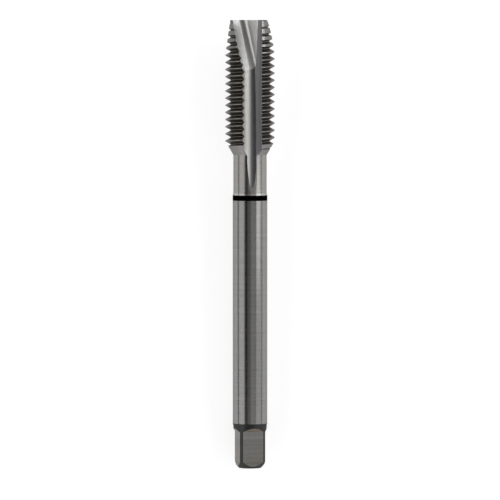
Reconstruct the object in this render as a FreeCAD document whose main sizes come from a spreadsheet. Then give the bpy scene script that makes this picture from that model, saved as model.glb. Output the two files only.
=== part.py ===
import FreeCAD, Part
import math
import os
import Sketcher

# A machine tap for an M12 x 1.75 thread, with three straight flutes and a spiral point.
# Everything is drawn in the tap's own frame: Z runs along its axis, from the end of the
# driving square at 0 to the flat point, and the middle of the first flute faces +X.
# The finished tap lies down as it comes to rest on a table: on its shank at the back and
# on its thread at the front, with the point along +Y and the first flute nearly on top.

# Driving sizes, in millimetres, degrees and copies.
SIZES = {
    "overall_length": 110,
    "shank_diameter": 8.5,
    "neck_diameter": 8.2,
    "neck_length": 9.6,
    "neck_bevel_angle": 14,
    "thread_diameter": 12.1,
    "thread_pitch": 1.75,
    "thread_length": 33.1,
    "thread_back_angle": 30,
    "thread_start_gap": 0.45,
    "lead_angle": 8,
    "point_diameter": 9.76,
    "flute_count": 3,
    "flute_radius": 2.6,
    "flute_length": 31.3,
    "flute_wheel_radius": 110,
    "heel_turn": 22,
    "heel_angle": 60,
    "heel_crown_radius": 30,
    "core_diameter": 7.3,
    "gash_length": 16.5,
    "gash_radius": 2,
    "gash_web": 2.42,
    "gash_turn": 45.5,
    "gash_face_radius": 3.2,
    "gash_face_angle": 17,
    "gash_face_end": 82,
    "gash_back_angle": 58.5,
    "gash_back_length": 10,
    "gash_skew": 9.5,
    "gash_slope": 15.7,
    "square_size": 6.4,
    "square_length": 9,
    "square_turn": 6.25,
    "square_runout_angle": 46,
    "square_corner_diameter": 8.2,
    "square_margin": 2,
    "square_bevel_angle": 12,
    "end_diameter": 5.4,
    "end_bevel_angle": 40,
    "end_crown_radius": 8,
    "centre_angle": 60,
    "centre_pilot_depth": 1.2,
    "shank_centre_mouth": 3.35,
    "shank_centre_pilot": 1.6,
    "point_centre_mouth": 1.7,
    "point_centre_pilot": 0.8,
    "cutter_overlap": 0.5,
    "rest_roll": 8,
}

# The ISO thread form, in pitches and degrees, and the sides of a square.
THREAD_DEPTH_IN_PITCHES = 0.70
THREAD_ROOT_IN_PITCHES = 0.067
THREAD_FLANK_ANGLE = 30
CUTTER_RISE_IN_PITCHES = 0.05
SQUARE_SIDES = 4

NAME = "tap"

doc = FreeCAD.newDocument("ThreadTap")
sheet = doc.addObject("Spreadsheet::Sheet", "Sizes")
for row, (alias, value) in enumerate(SIZES.items(), start=1):
    sheet.set(f"A{row}", alias)
    sheet.set(f"B{row}", str(value))
    sheet.setAlias(f"B{row}", alias)
doc.recompute()

body = doc.addObject("PartDesign::Body", "Tap")
body.Label = NAME
origin = {item.Role: item for item in body.Origin.OriginFeatures}


# Expressions on the sheet


def half(name):
    return f"(Sizes.{name} / 2)"


def run(rise, angle):
    """How far along the axis a bevel of this angle runs while it climbs by rise."""
    return f"(abs({rise}) / tan(Sizes.{angle} * 1deg))"


shank_radius = half("shank_diameter")
neck_radius = half("neck_diameter")
thread_radius = half("thread_diameter")
point_radius = half("point_diameter")
core_radius = half("core_diameter")
corner_radius = half("square_corner_diameter")
flat_distance = half("square_size")
end_radius = half("end_diameter")

tip = "Sizes.overall_length"
neck_front = f"({tip} - Sizes.thread_length)"
neck_back = f"({neck_front} - Sizes.neck_length)"
shank_front = f"({neck_back} - {run(f'{shank_radius} - {neck_radius}', 'neck_bevel_angle')})"
thread_back = f"({neck_front} + {run(f'{thread_radius} - {neck_radius}', 'thread_back_angle')})"
lead_back = f"({tip} - {run(f'{thread_radius} - {point_radius}', 'lead_angle')})"
end_bevel_front = run(f"{corner_radius} - {end_radius}", "end_bevel_angle")
shank_back = "(Sizes.square_length + Sizes.square_margin)"
corner_front = f"({shank_back} - {run(f'{shank_radius} - {corner_radius}', 'square_bevel_angle')})"


# Drawing and cutting


def number(expression):
    """The value that an expression on the sheet has now."""
    value = body.evalExpression(expression)
    return getattr(value, "Value", value)


def spot(place):
    return FreeCAD.Vector(number(place[0]), number(place[1]), 0)


def new_sketch(name, plane, raised=None, turned=None):
    """A sketch on one of the tap's own planes, raised off that plane or turned about the tap's axis."""
    sketch = body.newObject("Sketcher::SketchObject", name)
    sketch.AttachmentSupport = [(origin[plane], "")]
    sketch.MapMode = "FlatFace"
    if raised:
        sketch.setExpression("AttachmentOffset.Base.z", raised)
    if turned:
        about_axis = FreeCAD.Rotation(FreeCAD.Vector(0, 1, 0), number(turned))
        sketch.AttachmentOffset = FreeCAD.Placement(FreeCAD.Vector(), about_axis)
        sketch.setExpression("AttachmentOffset.Rotation.Angle", turned)
    return sketch


def hold(sketch, kind, geometry, point, expression):
    """Ties a point's distance across or up from the sketch's origin to the sheet."""
    if expression == "0":
        axis = -2 if kind == "DistanceX" else -1
        sketch.addConstraint(Sketcher.Constraint("PointOnObject", geometry, point, axis))
        return
    index = sketch.addConstraint(Sketcher.Constraint(kind, -1, 1, geometry, point, number(expression)))
    sketch.setExpression(f"Constraints[{index}]", expression)


def hold_point(sketch, geometry, point, place):
    hold(sketch, "DistanceX", geometry, point, place[0])
    hold(sketch, "DistanceY", geometry, point, place[1])


def hold_radius(sketch, geometry, expression):
    index = sketch.addConstraint(Sketcher.Constraint("Radius", geometry, number(expression)))
    sketch.setExpression(f"Constraints[{index}]", expression)


def crowned_edge(start, end, radius):
    """A shallow arc that bulges to the right of the way from start to end."""
    chord = end - start
    bulge = FreeCAD.Vector(chord.y, -chord.x, 0).normalize()
    bulge *= radius - math.sqrt(radius**2 - chord.Length**2 / 4)
    return Part.ArcOfCircle(start, (start + end) / 2 + bulge, end)


def outline(sketch, corners, crowns={}):
    """A closed outline with each corner tied to the sheet, and straight but for the crowned edges."""
    spots = [spot(corner) for corner in corners]
    for edge, (start, end) in enumerate(zip(spots, spots[1:] + spots[:1])):
        if edge in crowns:
            sketch.addGeometry(crowned_edge(start, end, number(crowns[edge])), False)
            hold_radius(sketch, edge, crowns[edge])
        else:
            sketch.addGeometry(Part.LineSegment(start, end), False)
    for edge in range(len(corners)):
        following = (edge + 1) % len(corners)
        sketch.addConstraint(Sketcher.Constraint("Coincident", edge, 2, following, 1))
    for edge, corner in enumerate(corners):
        hold_point(sketch, edge, 1, corner)


def turned_about_axis(kind, name, profile):
    """A full revolution of a profile about the tap's axis, added or cut away."""
    feature = body.newObject(kind, name)
    feature.Profile = profile
    feature.ReferenceAxis = (origin["Z_Axis"], [""])
    feature.Angle = 360
    return feature


def around_axis(name, originals, copies):
    """Equal copies of some cuts around the tap's axis."""
    pattern = body.newObject("PartDesign::PolarPattern", name)
    pattern.Originals = originals
    pattern.Axis = (origin["Z_Axis"], [""])
    pattern.Angle = 360
    pattern.setExpression("Occurrences", copies)
    body.Tip = pattern
    return pattern


left_over = None


def settle(feature):
    """Recomputes, and stops if a cut has removed nothing."""
    global left_over
    doc.recompute()
    volume = feature.Shape.Volume
    if left_over is not None and not volume < left_over:
        raise RuntimeError(f"{feature.Name} cuts nothing: {volume:.2f} mm3 left of {left_over:.2f}")
    print(f"{feature.Name:20s} {volume:9.2f} mm3")
    left_over = volume


# The turned blank: square end, shank, neck, back of the thread, thread and lead

blank_profile = new_sketch("blank_profile", "XZ_Plane")
outline(
    blank_profile,
    [
        ("0", "0"),
        (end_radius, "0"),
        (corner_radius, end_bevel_front),
        (corner_radius, corner_front),
        (shank_radius, shank_back),
        (shank_radius, shank_front),
        (neck_radius, neck_back),
        (neck_radius, neck_front),
        (thread_radius, thread_back),
        (thread_radius, lead_back),
        (point_radius, tip),
        ("0", tip),
    ],
    crowns={1: "Sizes.end_crown_radius"},
)
settle(turned_about_axis("PartDesign::Revolution", "blank", blank_profile))


# The flutes: a round bottom and cutting face, a straighter heel, straight from the point, then
# the long sweep where the grinding wheel lifts out

flute_profile = new_sketch("flute_profile", "XY_Plane", raised=f"{tip} - Sizes.flute_length")
flute_middle = (f"({core_radius} + Sizes.flute_radius)", "0")
flute_top = (f"({core_radius} + 2 * Sizes.flute_radius)", "0")
heel_foot = (
    f"({flute_middle[0]} - Sizes.flute_radius * cos(Sizes.heel_turn * 1deg))",
    "(Sizes.flute_radius * sin(Sizes.heel_turn * 1deg))",
)
heel_end = (flute_top[0], f"({heel_foot[1]} + {run(f'{flute_top[0]} - {heel_foot[0]}', 'heel_angle')})")
round_part = Part.Circle(spot(flute_middle), FreeCAD.Vector(0, 0, 1), number("Sizes.flute_radius"))
round_from = math.radians(180 - number("Sizes.heel_turn"))
flute_profile.addGeometry(Part.ArcOfCircle(round_part, round_from, 2 * math.pi), False)
flute_profile.addGeometry(Part.LineSegment(spot(flute_top), spot(heel_end)), False)
heel_edge = crowned_edge(spot(heel_end), spot(heel_foot), number("Sizes.heel_crown_radius"))
flute_profile.addGeometry(heel_edge, False)
for edge in range(3):
    flute_profile.addConstraint(Sketcher.Constraint("Coincident", edge, 2, (edge + 1) % 3, 1))
hold_point(flute_profile, 0, 3, flute_middle)
hold_radius(flute_profile, 0, "Sizes.flute_radius")
hold(flute_profile, "DistanceY", 0, 1, heel_foot[1])
hold(flute_profile, "DistanceY", 0, 2, flute_top[1])
hold_point(flute_profile, 1, 2, heel_end)
hold_radius(flute_profile, 2, "Sizes.heel_crown_radius")
wheel_distance = f"{core_radius} + Sizes.flute_wheel_radius"
wheel_axis = [(wheel_distance, "-Sizes.flute_radius"), (wheel_distance, "Sizes.flute_radius")]
flute_profile.addGeometry(Part.LineSegment(spot(wheel_axis[0]), spot(wheel_axis[1])), True)
hold_point(flute_profile, 3, 1, wheel_axis[0])
hold_point(flute_profile, 3, 2, wheel_axis[1])

flute = body.newObject("PartDesign::Pocket", "flute")
flute.Profile = flute_profile
flute.Type = "ThroughAll"
flute.Reversed = True
settle(flute)

flute_sweep = body.newObject("PartDesign::Groove", "flute_sweep")
flute_sweep.Profile = flute_profile
flute_sweep.ReferenceAxis = (flute_profile, ["Axis0"])
flute_sweep.Reversed = True
lift = f"(max({shank_radius}, {neck_radius}) - {core_radius} + Sizes.cutter_overlap)"
flute_sweep.setExpression("Angle", f"acos(1 - {lift} / Sizes.flute_wheel_radius)")
settle(flute_sweep)


# The spiral point: a gash in each flute that deepens towards the point and throws chips ahead

gash_profile = new_sketch("gash_profile", "XY_Plane", raised=tip)
gash_distance = "(Sizes.gash_web / 2 + Sizes.gash_radius)"
gash_middle = (
    f"({gash_distance} * cos(Sizes.gash_turn * 1deg))",
    f"(-{gash_distance} * sin(Sizes.gash_turn * 1deg))",
)


def beside(middle, radius, angle, side=1):
    """The spot on a circle this far from its innermost, towards the face, or with side -1 towards the back."""
    return (
        f"({middle[0]} - {radius} * cos({angle} * 1deg))",
        f"({middle[1]} - {side} * {radius} * sin({angle} * 1deg))",
    )


face_foot = beside(gash_middle, "Sizes.gash_radius", "Sizes.gash_face_angle")
face_growth = "(Sizes.gash_radius - Sizes.gash_face_radius)"
face_middle = beside(gash_middle, face_growth, "Sizes.gash_face_angle")
face_end = beside(face_middle, "Sizes.gash_face_radius", "Sizes.gash_face_end")
back_foot = beside(gash_middle, "Sizes.gash_radius", "Sizes.gash_back_angle", -1)
back_end = (
    f"({back_foot[0]} + Sizes.gash_back_length * sin(Sizes.gash_back_angle * 1deg))",
    f"({back_foot[1]} + Sizes.gash_back_length * cos(Sizes.gash_back_angle * 1deg))",
)
outer_corner = (back_end[0], face_end[1])


def gash_arc(middle, radius, start_angle, end_angle):
    circle = Part.Circle(spot(middle), FreeCAD.Vector(0, 0, 1), number(radius))
    return Part.ArcOfCircle(circle, math.radians(180 + start_angle), math.radians(180 + end_angle))


back_angle, face_angle, end_angle = [
    number(f"Sizes.{name}") for name in ("gash_back_angle", "gash_face_angle", "gash_face_end")
]
gash_profile.addGeometry(gash_arc(gash_middle, "Sizes.gash_radius", -back_angle, face_angle), False)
gash_profile.addGeometry(gash_arc(face_middle, "Sizes.gash_face_radius", face_angle, end_angle), False)
for start, end in [(face_end, outer_corner), (outer_corner, back_end), (back_end, back_foot)]:
    gash_profile.addGeometry(Part.LineSegment(spot(start), spot(end)), False)
gash_profile.addConstraint(Sketcher.Constraint("Tangent", 0, 2, 1, 1))
gash_profile.addConstraint(Sketcher.Constraint("Coincident", 1, 2, 2, 1))
gash_profile.addConstraint(Sketcher.Constraint("Coincident", 2, 2, 3, 1))
gash_profile.addConstraint(Sketcher.Constraint("Coincident", 3, 2, 4, 1))
gash_profile.addConstraint(Sketcher.Constraint("Tangent", 4, 2, 0, 1))
hold_point(gash_profile, 0, 3, gash_middle)
hold_radius(gash_profile, 0, "Sizes.gash_radius")
hold_radius(gash_profile, 1, "Sizes.gash_face_radius")
hold_point(gash_profile, 1, 2, face_end)
hold_point(gash_profile, 2, 2, outer_corner)
hold_point(gash_profile, 4, 1, back_end)

gash = body.newObject("PartDesign::Pocket", "gash")
gash.Profile = gash_profile
gash.UseCustomVector = True
gash.AlongSketchNormal = True
gash.setExpression("Direction.x", "tan(Sizes.gash_slope * 1deg)")
gash.setExpression("Direction.y", "tan(Sizes.gash_skew * 1deg)")
gash.setExpression("Direction.z", "-1")
gash.setExpression("Length", "Sizes.gash_length")
settle(gash)
settle(around_axis("flutes", [flute, flute_sweep, gash], "Sizes.flute_count"))


# The driving square: four flats that end in a short sloping shoulder

flat_profile = new_sketch("flat_profile", "XZ_Plane", turned="Sizes.square_turn")
flat_cutter_edge = f"({shank_radius} + Sizes.cutter_overlap)"
shoulder_front = f"Sizes.square_length + {run(f'{flat_cutter_edge} - {flat_distance}', 'square_runout_angle')}"
outline(
    flat_profile,
    [
        (flat_distance, "-Sizes.cutter_overlap"),
        (flat_cutter_edge, "-Sizes.cutter_overlap"),
        (flat_cutter_edge, shoulder_front),
        (flat_distance, "Sizes.square_length"),
    ],
)
flat = body.newObject("PartDesign::Pocket", "flat")
flat.Profile = flat_profile
flat.Midplane = True
flat.setExpression("Length", f"2 * {flat_cutter_edge}")
settle(flat)
settle(around_axis("square", [flat], str(SQUARE_SIDES)))


# The centre holes, on which the tap was ground


def centre_hole(name, face, mouth, pilot, inward):
    """A countersunk hole on the axis, into the end face at the given height."""
    cone = f"({half(mouth)} - {half(pilot)}) / tan({half('centre_angle')} * 1deg)"
    cone_end = f"{face} {inward} {cone}"
    bottom = f"{cone_end} {inward} Sizes.centre_pilot_depth"
    profile = new_sketch(name + "_profile", "XZ_Plane")
    outline(
        profile,
        [("0", face), (half(mouth), face), (half(pilot), cone_end), (half(pilot), bottom), ("0", bottom)],
    )
    settle(turned_about_axis("PartDesign::Groove", name, profile))


centre_hole("shank_centre", "0", "shank_centre_mouth", "shank_centre_pilot", "+")
centre_hole("point_centre", tip, "point_centre_mouth", "point_centre_pilot", "-")


# The thread: one right-hand groove, which starts in the air over the neck, runs out across the
# back of the thread and leaves past the point

groove_profile = new_sketch("groove_profile", "XZ_Plane")
groove_start = f"({neck_front} - Sizes.thread_start_gap)"
root_radius = f"({thread_radius} - {THREAD_DEPTH_IN_PITCHES} * Sizes.thread_pitch)"
rise_radius = f"({thread_radius} + {CUTTER_RISE_IN_PITCHES} * Sizes.thread_pitch)"
half_root = f"{THREAD_ROOT_IN_PITCHES / 2} * Sizes.thread_pitch"
half_mouth = f"({half_root} + ({rise_radius} - {root_radius}) * tan({THREAD_FLANK_ANGLE} * 1deg))"
outline(
    groove_profile,
    [
        (root_radius, f"{groove_start} - {half_root}"),
        (rise_radius, f"{groove_start} - {half_mouth}"),
        (rise_radius, f"{groove_start} + {half_mouth}"),
        (root_radius, f"{groove_start} + {half_root}"),
    ],
)
thread = body.newObject("PartDesign::SubtractiveHelix", "thread")
thread.Profile = groove_profile
thread.ReferenceAxis = (origin["Z_Axis"], [""])
thread.Mode = "pitch-height-angle"
thread.setExpression("Pitch", "Sizes.thread_pitch")
thread.setExpression("Height", "Sizes.thread_length + Sizes.thread_start_gap + Sizes.thread_pitch")
settle(thread)


# Laid to rest: the back of the shank and the back of the full thread both touch the table

grip = number(thread_back) - number(shank_back)
tilt = math.atan((number(thread_radius) - number(shank_radius)) / grip)
along = FreeCAD.Vector(0, math.cos(tilt), math.sin(tilt))
upward = FreeCAD.Vector(0, -math.sin(tilt), math.cos(tilt))
lying = FreeCAD.Rotation(upward, FreeCAD.Vector(1, 0, 0), along, "ZXY")
rolled = FreeCAD.Rotation(FreeCAD.Vector(0, 0, 1), number("Sizes.rest_roll"))
end_height = number(shank_radius) * math.cos(tilt) - number(shank_back) * math.sin(tilt)
end_place = FreeCAD.Vector(0, -number(tip) / 2 * math.cos(tilt), end_height)
body.Placement = FreeCAD.Placement(end_place, lying * rolled)
doc.recompute()

for item in doc.Objects:
    if {"Invalid", "Error"} & set(item.State):
        raise RuntimeError(f"{item.Name} has failed: {item.State}")
shape = body.Shape
if shape.isNull() or not shape.isValid() or len(shape.Solids) != 1:
    raise RuntimeError("the tap isn't one sound solid")

os.makedirs("parts", exist_ok=True)
shape.exportStep(os.path.join("parts", f"{body.Label}.step"))
print(f"tilt {math.degrees(tilt):.3f} degrees, box {shape.BoundBox}")
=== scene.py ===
import math

import bpy
from mathutils import Matrix, Vector


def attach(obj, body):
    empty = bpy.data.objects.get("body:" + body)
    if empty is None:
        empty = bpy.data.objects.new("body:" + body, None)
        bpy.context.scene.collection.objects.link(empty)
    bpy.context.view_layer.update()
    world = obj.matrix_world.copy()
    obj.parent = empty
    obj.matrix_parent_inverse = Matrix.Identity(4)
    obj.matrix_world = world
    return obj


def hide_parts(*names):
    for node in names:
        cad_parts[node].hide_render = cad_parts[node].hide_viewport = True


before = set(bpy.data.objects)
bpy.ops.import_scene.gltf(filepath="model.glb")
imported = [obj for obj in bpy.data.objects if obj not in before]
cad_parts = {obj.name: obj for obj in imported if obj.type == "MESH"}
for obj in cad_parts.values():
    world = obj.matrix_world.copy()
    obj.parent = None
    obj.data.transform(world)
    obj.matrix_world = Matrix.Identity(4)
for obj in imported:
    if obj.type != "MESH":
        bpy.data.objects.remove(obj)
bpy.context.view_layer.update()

# A machine tap for an M12 x 1.75 thread, with straight flutes and a spiral point, lying on a
# pale floor. It is modelled upright in its own frame, with Z along its axis from the driving
# square at 0 to the point, and then laid where the CAD has it.

MM = 0.001

# Sizes in millimetres and degrees. They are the CAD's own, but the flutes' heels, the gashes' back
# planes and walls, and the bevel between shank and neck lie a little closer to the photo.
LENGTH = 110
SHANK_RADIUS = 4.25
NECK_RADIUS = 4.1
THREAD_RADIUS = 6.05
POINT_RADIUS = 4.88
CORNER_RADIUS = 4.1
CORE_RADIUS = 3.65
FLUTE_RADIUS = 2.75
FLUTE_SHIFT = -0.12
FLUTE_LENGTH = 31.3
HEEL_TURN = 22
HEEL_CORNER = (4.121, 2.417)
HEEL_CORNER_RADIUS = 0.06
HEEL_WALL_ANGLE = 12
WHEEL_RADIUS = 110
WHEEL_CLEAR = 0.6
GASH_LENGTH = 16.5
GASH_WEB = 2.42
GASH_RADIUS = 2.0
GASH_TURN = 45.5
GASH_FACE_ANGLE = 17
GASH_FACE_RADIUS = 2.8
GASH_FACE_END = 82
GASH_BACK_ANGLE = 53.5
GASH_BACK_LENGTH = 10
GASH_SLOPE = 15.7
GASH_SKEW = 9.5
PITCH = 1.75
GROOVE_DEPTH = 0.70 * PITCH
GROOVE_FLAT = 0.067 * PITCH
GROOVE_PAST_CREST = 0.05 * PITCH
GROOVE_BEFORE_NECK = 0.45
GROOVE_TURNS = 21
NECK_FRONT = LENGTH - 33.1
NECK_BACK = NECK_FRONT - 9.35
SHANK_FRONT = NECK_BACK - (SHANK_RADIUS - NECK_RADIUS) / math.tan(math.radians(14))
THREAD_BACK = NECK_FRONT + (THREAD_RADIUS - NECK_RADIUS) / math.tan(math.radians(30))
LEAD_BACK = LENGTH - (THREAD_RADIUS - POINT_RADIUS) / math.tan(math.radians(8))
END_RADIUS = 2.7
END_BEVEL = (CORNER_RADIUS - END_RADIUS) / math.tan(math.radians(40))
END_CROWN = 8
SHANK_BACK = 11
CORNER_FRONT = SHANK_BACK - (SHANK_RADIUS - CORNER_RADIUS) / math.tan(math.radians(12))
SQUARE_HALF = 3.2
SQUARE_LENGTH = 9
SQUARE_TURN = 6.25
RUNOUT_ANGLE = 46
PILOT_DEPTH = 1.2
SHANK_CENTRE_RADIUS, SHANK_PILOT_RADIUS, SHANK_CONE = 1.675, 0.8, 1.52
POINT_CENTRE_RADIUS, POINT_PILOT_RADIUS, POINT_CONE = 0.85, 0.4, 0.78
RING_BACK, RING_FRONT = 65.75, 67.05
RING_FILM, RING_LIP, RING_SHOULDER, RING_SUNK = 0.010, 0.004, 0.03, 0.02
ROLL = 8
TILT = math.atan((THREAD_RADIUS - SHANK_RADIUS) / (THREAD_BACK - SHANK_BACK))


# Modelling by hand


def deselect():
    for item in bpy.context.selected_objects:
        item.select_set(False)


def edit(select="VERT"):
    bpy.ops.object.mode_set(mode="EDIT")
    bpy.ops.mesh.select_mode(type=select)


def leave():
    bpy.ops.object.mode_set(mode="OBJECT")


def take(piece):
    deselect()
    piece.select_set(True)
    bpy.context.view_layer.objects.active = piece


def pen(name, place):
    """A new piece that is one point so far, ready to be drawn on in edit mode."""
    deselect()
    bpy.ops.mesh.primitive_plane_add(size=MM, location=(0, 0, 0))
    piece = bpy.context.object
    piece.name = name
    edit()
    bpy.ops.mesh.select_all(action="SELECT")
    bpy.ops.mesh.merge(type="CENTER")
    bpy.ops.transform.translate(value=[v * MM for v in place])
    return piece


def draw(*steps):
    """Draws on from the last point, by steps in millimetres."""
    for step in steps:
        bpy.ops.mesh.extrude_region_move(TRANSFORM_OT_translate={"value": [v * MM for v in step]})


def draw_to(spots):
    """Draws a line through these spots, of which the first is where the pen is."""
    draw(*[[b - a for a, b in zip(start, end)] for start, end in zip(spots, spots[1:])])


def close_outline():
    bpy.ops.mesh.select_all(action="SELECT")
    bpy.ops.mesh.edge_face_add()


def outwards():
    bpy.ops.mesh.select_all(action="SELECT")
    bpy.ops.mesh.remove_doubles(threshold=MM * 1e-4)
    bpy.ops.mesh.normals_make_consistent(inside=False)


def lathe(name, profile, steps=144):
    """A turned piece: a half profile of (radius, height) from axis to axis, spun about the axis."""
    spots = [(radius, 0, height) for radius, height in profile]
    piece = pen(name, spots[0])
    draw_to(spots)
    bpy.ops.mesh.select_all(action="SELECT")
    bpy.ops.mesh.spin(steps=steps, angle=math.tau, center=(0, 0, 0), axis=(0, 0, 1))
    outwards()
    leave()
    return piece


def turned_copy(piece, degrees):
    """A copy with its own mesh, turned about the tap's axis."""
    take(piece)
    bpy.ops.object.duplicate(linked=False)
    copy = bpy.context.object
    copy.rotation_euler.z = math.radians(degrees)
    bpy.ops.object.transform_apply(location=True, rotation=True, scale=True)
    return copy


def cut(piece, cutter):
    """Cuts a cutter's shape out of a piece; the cut faces keep the cutter's material."""
    take(piece)
    knife = piece.modifiers.new("cut", "BOOLEAN")
    knife.operation = "DIFFERENCE"
    knife.solver = "EXACT"
    knife.material_mode = "TRANSFER"
    knife.object = cutter
    bpy.ops.object.modifier_apply(modifier=knife.name)
    bpy.data.objects.remove(cutter)


def arc_spots(start, end, radius, count):
    """Spots inside a shallow arc, which bulges to the right on the way from start to end."""
    (x0, z0), (x1, z1) = start, end
    dx, dz = x1 - x0, z1 - z0
    chord = math.hypot(dx, dz)
    drop = math.sqrt(radius**2 - chord**2 / 4)
    cx, cz = (x0 + x1) / 2 - dz / chord * drop, (z0 + z1) / 2 + dx / chord * drop
    first, last = math.atan2(z0 - cz, x0 - cx), math.atan2(z1 - cz, x1 - cx)
    turns = [first + (last - first) * n / (count + 1) for n in range(1, count + 1)]
    return [(cx + radius * math.cos(t), cz + radius * math.sin(t)) for t in turns]


# Shader maths: an expression on Value objects adds Math nodes


class Value:
    def __init__(self, finish, socket):
        self.finish = finish
        self.socket = socket

    def maths(self, operation, *inputs):
        return self.finish.node("ShaderNodeMath", {"operation": operation}, list(inputs))

    def __add__(self, other):
        return self.maths("ADD", self, other)

    def __radd__(self, other):
        return self.maths("ADD", other, self)

    def __sub__(self, other):
        return self.maths("SUBTRACT", self, other)

    def __rsub__(self, other):
        return self.maths("SUBTRACT", other, self)

    def __mul__(self, other):
        return self.maths("MULTIPLY", self, other)

    def __rmul__(self, other):
        return self.maths("MULTIPLY", other, self)

    def __truediv__(self, other):
        return self.maths("DIVIDE", self, other)

    def __rtruediv__(self, other):
        return self.maths("DIVIDE", other, self)

    def sine(self):
        return self.maths("SINE", self)

    def largest(self, other):
        return self.maths("MAXIMUM", self, other)


class Finish:
    """A node material, or the world, that is written as expressions."""

    def __init__(self, name, owner=None):
        self.owner = owner or bpy.data.materials.new(name)
        self.owner.use_nodes = True
        self.tree = self.owner.node_tree
        self.tree.nodes.clear()

    def node(self, kind, settings=None, inputs=None, output=0):
        """Any node: its settings first, then its inputs by name or order; gives one output."""
        made = self.tree.nodes.new(kind)
        for key, value in (settings or {}).items():
            if key == "stops":
                self.set_stops(made.color_ramp, value)
            else:
                setattr(made, key, value)
        pairs = inputs.items() if isinstance(inputs, dict) else enumerate(inputs or [])
        for key, value in pairs:
            if isinstance(value, Value):
                self.tree.links.new(value.socket, made.inputs[key])
            elif value is not None:
                made.inputs[key].default_value = value
        return Value(self, made.outputs[output]) if made.outputs else None

    def set_stops(self, ramp, stops):
        while len(ramp.elements) < len(stops):
            ramp.elements.new(1)
        for element, (place, level) in zip(ramp.elements, stops):
            element.position = place
            element.color = (level, level, level, 1)

    def mix(self, factor, first, second):
        """Two colours mixed; the node's colour sockets are its inputs 6 and 7 and its output 2."""
        sockets = {0: factor, 6: first, 7: second}
        return self.node("ShaderNodeMix", {"data_type": "RGBA"}, sockets, output=2)

    def surface(self, shader, kind="ShaderNodeOutputMaterial"):
        self.node(kind, None, {"Surface": shader})

    def own_frame(self):
        """The tap's own frame in millimetres, from the Object coordinates of a laid piece."""
        place = self.node("ShaderNodeTexCoord", output="Object")
        turn = own_to_world.inverted()
        scale = {"operation": "SCALE"}
        scaled = self.node("ShaderNodeVectorMath", scale, {0: place, "Scale": 1 / MM})
        return self.node(
            "ShaderNodeMapping",
            {"vector_type": "POINT"},
            {
                "Vector": scaled,
                "Rotation": turn.to_euler(),
                "Location": turn.to_translation() / MM,
            },
        )

    def axis(self, place, name):
        """One coordinate of a place: X, Y or Z."""
        return self.node("ShaderNodeSeparateXYZ", None, [place], output=name)

    def noise(self, place, stretch, detail=3, roughness=0.55, scale=1.0):
        """Noise on the tap's own frame; stretch is how many cells a millimetre holds each way."""
        stretched = self.node("ShaderNodeMapping", None, {"Vector": place, "Scale": stretch})
        return self.node(
            "ShaderNodeTexNoise",
            None,
            {"Vector": stretched, "Scale": scale, "Detail": detail, "Roughness": roughness},
        )

    def ramp(self, factor, *stops):
        return self.node("ShaderNodeValToRGB", {"stops": stops}, [factor])


own_to_world = (
    Matrix.Translation(
        (
            0,
            -LENGTH / 2 * math.cos(TILT) * MM,
            (SHANK_RADIUS * math.cos(TILT) - SHANK_BACK * math.sin(TILT)) * MM,
        )
    )
    @ Matrix(
        (
            (0, 1, 0, 0),
            (-math.sin(TILT), 0, math.cos(TILT), 0),
            (math.cos(TILT), 0, math.sin(TILT), 0),
            (0, 0, 0, 1),
        )
    )
    @ Matrix.Rotation(math.radians(ROLL), 4, "Z")
)


# Finishes

BROAD_LINES = 0.22
ROUGH_SPREAD = 0.05
GRAZING_TINT = (0.64, 0.64, 0.64, 1)


def toned(steel, tone, colour):
    """A colour that is half as light where the tone is 0 and half as light again where it is 2."""
    dark, bright = [[min(1, c * level) for c in colour] + [1] for level in (0.5, 1.5)]
    return steel.mix(tone * 0.5, dark, bright)


def ground_steel(
    name, colour, roughness, lines, depth, mottle=0.0, streaks=None, sides=(), foot=None
):
    """Ground high speed steel, with grinding lines that are fine across and long along their way.

    The depth of the lines is in millimetres. The mottle is a cloudy change of tone, the streaks
    run with the lines and are as strong as the mottle unless given, and the foot is the colour
    at the very end of the square. The sides of a flute may differ: each has 1 for the heel's
    side or -1 for the cutting face's, the two places between the flute's middle at 0 and its
    edge at 1 where it sets in and where it is full, its painted light and its roughness. The
    painted light is a colour lighter than the steel's own, a painted highlight for the light
    that the flute's wall catches.
    """
    steel = Finish(name)
    place = steel.own_frame()
    fine = steel.noise(place, lines, detail=4)
    broad = steel.noise(place, [v * BROAD_LINES for v in lines], detail=2)
    cloud = steel.noise(place, (0.9, 0.9, 0.5), detail=3)
    tone = 1 + (broad - 0.5) * (mottle if streaks is None else streaks) + (cloud - 0.5) * mottle
    shade = toned(steel, tone, colour)
    if foot:
        rise = steel.ramp(steel.axis(place, "Z") / SQUARE_LENGTH, (0.1, 0), (0.9, 1))
        shade = steel.mix(rise, toned(steel, tone, foot), shade)
    rough = roughness + (fine - 0.5) * ROUGH_SPREAD * 2 + (cloud - 0.5) * ROUGH_SPREAD
    # Painted highlight: each wall of a flute gets a lighter colour than its middle, for the light
    # that it catches.
    if sides:
        x, y = steel.axis(place, "X"), steel.axis(place, "Y")
        across = (3 * y.maths("ARCTAN2", y, x)).sine()
        for side, first, last, side_painted_light, side_rough in sides:
            facing = steel.ramp(across * side, (first, 0), (last, 1))
            shade = steel.mix(facing, shade, [*side_painted_light, 1])
            rough = rough + facing * (side_rough - roughness)
    height = fine + broad * 0.6
    lift = {"Strength": 1.0, "Distance": depth * MM, "Height": height}
    bump = steel.node("ShaderNodeBump", None, lift)
    shader = steel.node(
        "ShaderNodeBsdfPrincipled",
        None,
        {
            "Base Color": shade,
            "Metallic": 1.0,
            "Roughness": rough,
            "Specular Tint": GRAZING_TINT,
            "Normal": bump,
        },
    )
    steel.surface(shader)
    return steel.owner


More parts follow.
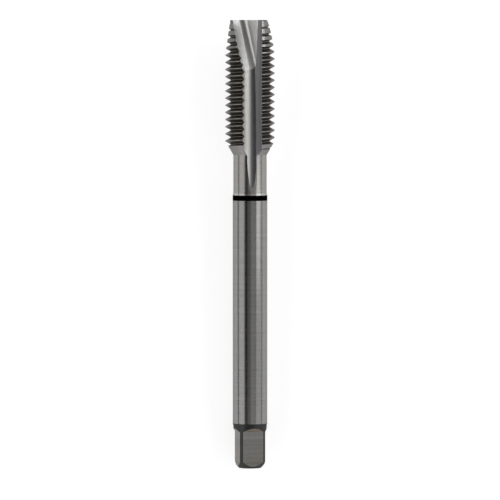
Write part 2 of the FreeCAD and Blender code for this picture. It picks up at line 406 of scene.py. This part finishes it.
shank_steel = ground_steel(
    "shank_steel", (0.268, 0.265, 0.259), 0.2, (0.12, 0.12, 7), 0.002, mottle=0.35, streaks=0.7
)
# The neck's lighter, warmer colour is partly its own grinding and partly a painted highlight.
neck_steel_and_highlight = ground_steel(
    "neck_steel_and_highlight", (0.31, 0.302, 0.289), 0.22, (0.15, 0.15, 9), 0.006, mottle=0.4
)
# The bevel's lighter colour is a painted highlight.
bevel_highlight_steel = ground_steel(
    "bevel_highlight_steel", (0.43, 0.42, 0.405), 0.26, (0.15, 0.15, 9), 0.003, mottle=0.3
)
crest_steel = ground_steel(
    "crest_steel", (0.22, 0.216, 0.21), 0.32, (0.2, 0.2, 9), 0.003, mottle=0.3
)
lead_steel = ground_steel(
    "lead_steel", (0.19, 0.187, 0.182), 0.28, (0.2, 0.2, 9), 0.003, mottle=0.3
)
groove_steel = ground_steel(
    "groove_steel", (0.15, 0.139, 0.125), 0.36, (0.4, 0.4, 12), 0.003, mottle=0.3
)
flute_steel_and_highlights = ground_steel(
    "flute_steel_and_highlights",
    (0.2, 0.203, 0.208),
    0.28,
    (5, 5, 0.12),
    0.003,
    mottle=0.25,
    # The walls' lighter colours are painted highlights.
    sides=[
        (-1, 0.08, 0.5, (0.56, 0.543, 0.523), 0.5),
        (1, 0.6, 0.72, (0.54, 0.54, 0.558), 0.3),
    ],
)
gash_steel = ground_steel(
    "gash_steel", (0.66, 0.654, 0.64), 0.33, (5, 5, 0.3), 0.0015, mottle=0.25
)
gash_face = ground_steel(
    "gash_face", (0.74, 0.733, 0.713), 0.55, (5, 5, 0.3), 0.0006, mottle=0.08
)
square_steel = ground_steel(
    "square_steel",
    (0.285, 0.28, 0.27),
    0.36,
    (0.1, 0.1, 5),
    0.004,
    mottle=0.4,
    streaks=1.7,
    foot=(0.253, 0.239, 0.217),
)
slope_steel = ground_steel(
    "slope_steel", (0.3, 0.262, 0.222), 0.42, (0.3, 0.3, 5), 0.004, mottle=0.5
)
turned_scale = ground_steel(
    "turned_scale", (0.05, 0.05, 0.049), 0.42, (0.3, 0.3, 4), 0.004, mottle=0.5
)


def ring_black():
    paint = Finish("ring_paint")
    place = paint.own_frame()
    dust = paint.noise(place, (2, 2, 2), detail=4)
    black, less_black = (0.0005, 0.0005, 0.0005, 1), (0.002, 0.002, 0.002, 1)
    shader = paint.node(
        "ShaderNodeBsdfPrincipled",
        None,
        {
            "Base Color": paint.mix(dust, black, less_black),
            "Roughness": 0.6 + (dust - 0.5) * 0.2,
            "Specular IOR Level": 0.0,
        },
    )
    paint.surface(shader)
    return paint.owner


# The turned blank, with its centre holes


def finish_bands(piece, bands):
    """Gives faces their finish by how high up the axis their middle is."""
    take(piece)
    for material, _ in bands:
        piece.data.materials.append(material)
    for face in piece.data.polygons:
        height = face.center.z / MM
        for index, (_, top) in enumerate(bands):
            if height < top:
                face.material_index = index
                break


blank = lathe(
    "tap_body",
    [
        (0, SHANK_CONE + PILOT_DEPTH),
        (SHANK_PILOT_RADIUS, SHANK_CONE + PILOT_DEPTH),
        (SHANK_PILOT_RADIUS, SHANK_CONE),
        (SHANK_CENTRE_RADIUS, 0),
        (END_RADIUS, 0),
        *arc_spots((END_RADIUS, 0), (CORNER_RADIUS, END_BEVEL), END_CROWN, 5),
        (CORNER_RADIUS, END_BEVEL),
        (CORNER_RADIUS, CORNER_FRONT),
        (SHANK_RADIUS, SHANK_BACK),
        (SHANK_RADIUS, SHANK_FRONT),
        (NECK_RADIUS, NECK_BACK),
        (NECK_RADIUS, NECK_FRONT),
        (THREAD_RADIUS, THREAD_BACK),
        (THREAD_RADIUS, LEAD_BACK),
        (POINT_RADIUS, LENGTH),
        (POINT_CENTRE_RADIUS, LENGTH),
        (POINT_PILOT_RADIUS, LENGTH - POINT_CONE),
        (POINT_PILOT_RADIUS, LENGTH - POINT_CONE - PILOT_DEPTH),
        (0, LENGTH - POINT_CONE - PILOT_DEPTH),
    ],
)
finish_bands(
    blank,
    [
        (turned_scale, SHANK_BACK - 0.01),
        (shank_steel, SHANK_FRONT + 0.01),
        (bevel_highlight_steel, NECK_BACK + 0.01),
        (neck_steel_and_highlight, NECK_FRONT + 0.01),
        (crest_steel, LEAD_BACK + 0.01),
        (lead_steel, LENGTH + 1),
    ],
)


# The flutes: a round-nosed cutter, straight from the point and then lifting out


def flute_cutter():
    """A round bottom, a flatter strip towards the heel and a steep wall behind it."""
    middle, height = CORE_RADIUS + FLUTE_RADIUS, LENGTH + 1
    turn, lean = math.radians(HEEL_TURN), math.radians(HEEL_WALL_ANGLE)
    foot = (middle - FLUTE_RADIUS * math.cos(turn), FLUTE_SHIFT + FLUTE_RADIUS * math.sin(turn))
    top = (middle + FLUTE_RADIUS, FLUTE_SHIFT)
    wall_top = (top[0], HEEL_CORNER[1] - (top[0] - HEEL_CORNER[0]) * math.tan(lean))
    strip = Vector(foot) - Vector(HEEL_CORNER)
    before = Vector(HEEL_CORNER) + Vector((math.cos(lean), -math.sin(lean))) * HEEL_CORNER_RADIUS
    after = Vector(HEEL_CORNER) + strip.normalized() * HEEL_CORNER_RADIUS
    corner = arc_spots(before, after, HEEL_CORNER_RADIUS * 1.1, 5)
    cutter = pen("flute", (*foot, height))
    bpy.ops.mesh.spin(
        steps=72,
        angle=-(math.pi + turn),
        center=(middle * MM, FLUTE_SHIFT * MM, height * MM),
        axis=(0, 0, 1),
    )
    draw_to([(x, y, height) for x, y in [top, wall_top, before, *corner, after, foot]])
    outwards()
    draw((0, 0, -FLUTE_LENGTH - 1))
    lift = HEEL_CORNER[0] + WHEEL_CLEAR - CORE_RADIUS
    bpy.ops.mesh.spin(
        steps=24,
        angle=math.acos(1 - lift / WHEEL_RADIUS),
        center=((CORE_RADIUS + WHEEL_RADIUS) * MM, 0, (LENGTH - FLUTE_LENGTH) * MM),
        axis=(0, 1, 0),
    )
    bpy.ops.mesh.select_all(action="SELECT")
    bpy.ops.mesh.fill_holes(sides=0)
    outwards()
    leave()
    cutter.data.materials.append(flute_steel_and_highlights)
    return cutter


# The spiral point: a gash that deepens towards the point


def gash_cutter():
    """A back plane, a round bottom and a wall of its own radius, drawn at the point and slanted."""
    slope = (math.tan(math.radians(GASH_SLOPE)), math.tan(math.radians(GASH_SKEW)), -1)
    reach, turn = GASH_WEB / 2 + GASH_RADIUS, math.radians(GASH_TURN)
    middle = Vector((reach * math.cos(turn), -reach * math.sin(turn), LENGTH))
    back, face = math.radians(GASH_BACK_ANGLE), math.radians(GASH_FACE_ANGLE)
    foot = middle + Vector((-math.cos(back), math.sin(back), 0)) * GASH_RADIUS
    start = foot + Vector((math.sin(back), math.cos(back), 0)) * GASH_BACK_LENGTH
    cutter = pen("gash", start)
    draw(foot - start)
    bpy.ops.mesh.spin(steps=24, angle=-(face + back), center=middle * MM, axis=(0, 0, 1))
    grow = GASH_FACE_RADIUS - GASH_RADIUS
    wall_middle = middle + Vector((math.cos(face), math.sin(face), 0)) * grow
    bpy.ops.mesh.spin(
        steps=24,
        angle=face - math.radians(GASH_FACE_END),
        center=wall_middle * MM,
        axis=(0, 0, 1),
    )
    draw((start.x - middle.x, 0, 0))
    close_outline()
    bpy.ops.transform.translate(value=[-v * MM for v in slope])
    draw([v * (GASH_LENGTH + 1) for v in slope])
    outwards()
    leave()
    cutter.data.materials.append(gash_steel)
    cutter.data.materials.append(gash_face)
    for side in cutter.data.polygons:
        facing = math.atan2(-side.normal.y, -side.normal.x)
        side.material_index = face < facing < math.pi / 2
    return cutter


# The square: a milling cutter that ends in a short slope


def flat_cutter():
    edge = SHANK_RADIUS + 0.5
    front = SQUARE_LENGTH + (edge - SQUARE_HALF) / math.tan(math.radians(RUNOUT_ANGLE))
    spots = [
        (SQUARE_HALF, -edge, -0.5),
        (edge, -edge, -0.5),
        (edge, -edge, front),
        (SQUARE_HALF, -edge, SQUARE_LENGTH),
    ]
    cutter = pen("flat", spots[0])
    draw_to(spots)
    close_outline()
    draw((0, 2 * edge, 0))
    outwards()
    leave()
    cutter.data.materials.append(square_steel)
    cutter.data.materials.append(slope_steel)
    for face in cutter.data.polygons:
        face.material_index = 0.2 < abs(face.normal.z) < 0.9
    return cutter


# The thread: one right-hand groove, wound by a screw


def groove_cutter():
    root, crest = THREAD_RADIUS - GROOVE_DEPTH, THREAD_RADIUS + GROOVE_PAST_CREST
    half_root = GROOVE_FLAT / 2
    half_mouth = half_root + (crest - root) * math.tan(math.radians(30))
    middle = NECK_FRONT - GROOVE_BEFORE_NECK
    spots = [
        (root, 0, middle - half_root),
        (crest, 0, middle - half_mouth),
        (crest, 0, middle + half_mouth),
        (root, 0, middle + half_root),
    ]
    cutter = pen("groove", spots[0])
    draw_to(spots)
    bpy.ops.mesh.select_all(action="SELECT")
    bpy.ops.mesh.edge_face_add()
    bpy.ops.mesh.delete(type="ONLY_FACE")
    leave()
    take(cutter)
    winding = cutter.modifiers.new("winding", "SCREW")
    winding.axis = "Z"
    winding.angle = math.tau
    winding.screw_offset = PITCH * MM
    winding.iterations = GROOVE_TURNS
    winding.steps = winding.render_steps = 96
    winding.use_merge_vertices = False
    bpy.ops.object.modifier_apply(modifier=winding.name)
    edit()
    bpy.ops.mesh.select_all(action="SELECT")
    bpy.ops.mesh.fill_holes(sides=0)
    outwards()
    leave()
    cutter.data.materials.append(groove_steel)
    return cutter


first_flute, first_gash, first_flat = flute_cutter(), gash_cutter(), flat_cutter()
flutes = [turned_copy(first_flute, 120 * n) for n in range(3)]
gashes = [turned_copy(first_gash, 120 * n) for n in range(3)]
flats = [turned_copy(first_flat, SQUARE_TURN + 90 * n) for n in range(4)]
for cutter in (first_flute, first_gash, first_flat):
    bpy.data.objects.remove(cutter)
for cutter in [*flats, *flutes, *gashes, groove_cutter()]:
    cut(blank, cutter)


# The painted ring, a film on the front of the shank


ring = lathe(
    "painted_ring",
    [
        (SHANK_RADIUS - RING_SUNK, RING_BACK),
        (SHANK_RADIUS + RING_LIP, RING_BACK),
        (SHANK_RADIUS + RING_FILM, RING_BACK + RING_SHOULDER),
        (SHANK_RADIUS + RING_FILM, RING_FRONT - RING_SHOULDER),
        (SHANK_RADIUS + RING_LIP, RING_FRONT),
        (SHANK_RADIUS - RING_SUNK, RING_FRONT),
        (SHANK_RADIUS - RING_SUNK, RING_BACK),
    ],
)
ring.data.materials.append(ring_black())


def lay(piece, angle=28):
    """Lays a finished piece where the CAD has it, with its place in its mesh."""
    take(piece)
    bpy.ops.object.shade_smooth_by_angle(angle=math.radians(angle))
    piece.matrix_world = own_to_world
    bpy.ops.object.transform_apply(location=True, rotation=True, scale=True)


lay(blank)
lay(ring, 60)
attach(blank, "root")
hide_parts("tap")
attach(ring, "root")


# The floor, the lamps and the camera


def is_seen(finish):
    """1 for rays from the camera and for those that metal or glass sends on."""
    camera, glossy, through = [
        finish.node("ShaderNodeLightPath", output=f"Is {kind} Ray")
        for kind in ("Camera", "Glossy", "Transmission")
    ]
    return camera.largest(glossy).largest(through)


def pale_floor():
    paper = Finish("pale_floor")
    matt = paper.node("ShaderNodeBsdfDiffuse", None, {"Color": (0.6, 0.6, 0.6, 1)})
    shine = {"Color": (1, 1, 1, 1), "Strength": is_seen(paper) * 0.7}
    glow = paper.node("ShaderNodeEmission", None, shine)
    paper.surface(paper.node("ShaderNodeAddShader", None, [matt, glow]))
    return paper.owner


deselect()
bpy.ops.mesh.primitive_circle_add(vertices=96, radius=4, fill_type="NGON", location=(0, 0, 0))
floor = bpy.context.object
floor.name = "floor"
floor.data.materials.append(pale_floor())


def softbox(name, angle, half_angle, distance, length, level, along=0):
    """A soft lamp beside the tap, or along from its middle towards the point.

    Its angle is from straight up, towards +X, and its level is its brightness.
    """
    lean = math.radians(angle)
    lamp = bpy.data.lights.new(name, "AREA")
    lamp.shape = "RECTANGLE"
    lamp.size = 2 * distance * math.tan(math.radians(half_angle))
    lamp.size_y = length
    lamp.energy = level * math.pi * lamp.size * lamp.size_y
    holder = bpy.data.objects.new(name, lamp)
    holder.location = (distance * math.sin(lean), along, distance * math.cos(lean))
    back = holder.location.normalized()
    across = Vector((0, 1, 0)).cross(back).normalized()
    holder.rotation_euler = Matrix((across, back.cross(across), back)).transposed().to_euler()
    holder.visible_camera = False
    bpy.context.scene.collection.objects.link(holder)


softbox("left_softbox", -58.5, 21.5, 0.5, 1.6, 1.03)
softbox("right_softbox", 61, 22, 0.5, 1.6, 0.82)
softbox("right_front_softbox", 56.5, 13.5, 0.5, 0.32, 0.8, along=0.145)
softbox("left_top_softbox", -6, 11, 0.9, 0.8, 0.21, along=-0.06)
softbox("right_top_softbox", 20, 15, 0.9, 0.8, 0.48, along=-0.06)
softbox("crest_softbox", 75, 8, 0.5, 0.115, 5.0, along=0.2)
softbox("gash_softbox", 76, 12, 0.5, 0.2, 0.6, along=0.4)


def studio():
    """The room: dim above and beside the tap, and lighter towards its two ends."""
    world = bpy.data.worlds.new("studio")
    air = Finish("studio", world)
    way = air.node("ShaderNodeTexCoord", output="Generated")
    along, height = air.axis(way, "Y"), air.axis(way, "Z")
    beside = air.ramp(height, (0.0, 0.08), (0.1, 0.08), (0.3, 0.045), (1.0, 0.025))
    ends = air.ramp(height, (0.0, 0.7), (0.5, 0.5), (1.0, 0.3))
    towards_ends = air.ramp(along * 0.5 + 0.5, (0.2, 1), (0.375, 0), (0.77, 0), (0.93, 1))
    light = {"Color": air.mix(towards_ends, beside, ends), "Strength": 1.0}
    air.surface(air.node("ShaderNodeBackground", None, light), "ShaderNodeOutputWorld")
    bpy.context.scene.world = world


studio()

FRAME_WIDTH = 122.6
CAMERA_DISTANCE = 1250
AIM_BEHIND_MIDDLE = 1.42
SENSOR_WIDTH = 36


def camera():
    """Straight above the point and aimed near the tap's middle, as the photo has it."""
    roll = math.radians(ROLL)
    up = own_to_world.to_3x3() @ Vector((math.cos(roll), -math.sin(roll), 0))
    axis = own_to_world.to_3x3() @ Vector((0, 0, 1))
    tip = own_to_world @ Vector((0, 0, LENGTH * MM))
    place = tip + up * CAMERA_DISTANCE * MM
    target = own_to_world @ Vector((0, 0, (LENGTH / 2 - AIM_BEHIND_MIDDLE) * MM))
    view = bpy.data.cameras.new("camera")
    view.sensor_width = SENSOR_WIDTH
    view.lens = SENSOR_WIDTH * CAMERA_DISTANCE / FRAME_WIDTH
    view.clip_start, view.clip_end = 0.05, 20
    holder = bpy.data.objects.new("camera", view)
    look = (target - place).normalized()
    right = look.cross(axis).normalized()
    turn = Matrix((right, right.cross(look), -look)).transposed().to_4x4()
    holder.matrix_world = Matrix.Translation(place) @ turn
    bpy.context.scene.collection.objects.link(holder)
    bpy.context.scene.camera = holder


camera()
bpy.context.scene.view_settings.view_transform = "Standard"
